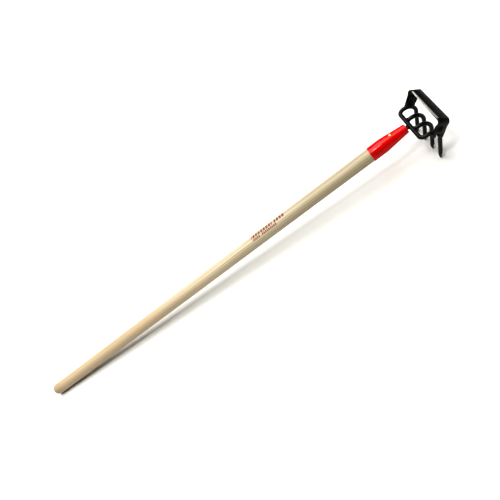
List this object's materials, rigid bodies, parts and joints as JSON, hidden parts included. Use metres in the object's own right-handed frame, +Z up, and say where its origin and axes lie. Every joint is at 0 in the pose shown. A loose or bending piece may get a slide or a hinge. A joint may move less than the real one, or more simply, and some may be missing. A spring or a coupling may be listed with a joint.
{
  "type": "stirrup hoe and cultivator",
  "caption": "Long-handled garden hoe whose head has bent rod cultivator tines on one side and a rocking strap stirrup blade on the other.",
  "frame": {"origin": "on the ground under the middle of the tool's box, as it lies with its tines down", "axes": "+X along the tool from the butt to the head, +Z up, the stirrup on the upper side; the handle slopes 3.3 degrees up towards the head"},
  "size_m": [1.3176, 0.1392, 0.1175],
  "materials": {
    "ash_wood": "satin varnish over pale hardwood",
    "red_enamel": "gloss red paint",
    "brass": "worn",
    "forged_steel": "dark scale",
    "black_enamel": "semi-gloss black paint",
    "black_oxide_steel": "black oxide",
    "blade_steel": "semi-gloss black paint, ground bare at the edges"
  },
  "bodies": {
    "cultivator": {"handle": "ash_wood", "ferrule": "red_enamel", "ferrule_rivet": "brass", "tang": "forged_steel", "outer_tine_bow": "black_enamel", "inner_tine_left": "black_enamel", "inner_tine_right": "black_enamel", "tine_weld_left": "black_enamel", "tine_weld_right": "black_enamel", "neck_weld": "black_enamel", "pivot_lug_left": "black_enamel", "pivot_lug_right": "black_enamel", "lug_weld_left": "black_enamel", "lug_weld_right": "black_enamel", "stop_pin_left": "black_enamel", "stop_pin_right": "black_enamel", "wear_washer_left": "black_oxide_steel", "wear_washer_right": "black_oxide_steel", "head_washer_left": "black_oxide_steel", "head_washer_right": "black_oxide_steel", "pivot_bolt_left": "black_oxide_steel", "pivot_bolt_right": "black_oxide_steel", "pivot_nut_left": "black_oxide_steel", "pivot_nut_right": "black_oxide_steel"},
    "stirrup": {"stirrup_loop": "blade_steel"}
  },
  "joints": [
    {"name": "stirrup_rock", "type": "hinge", "parent": "cultivator", "child": "stirrup", "pos_m": [0.63329, 0, 0.08942], "axis": [0, -1, 0], "range_deg": [0, 22]}
  ]
}
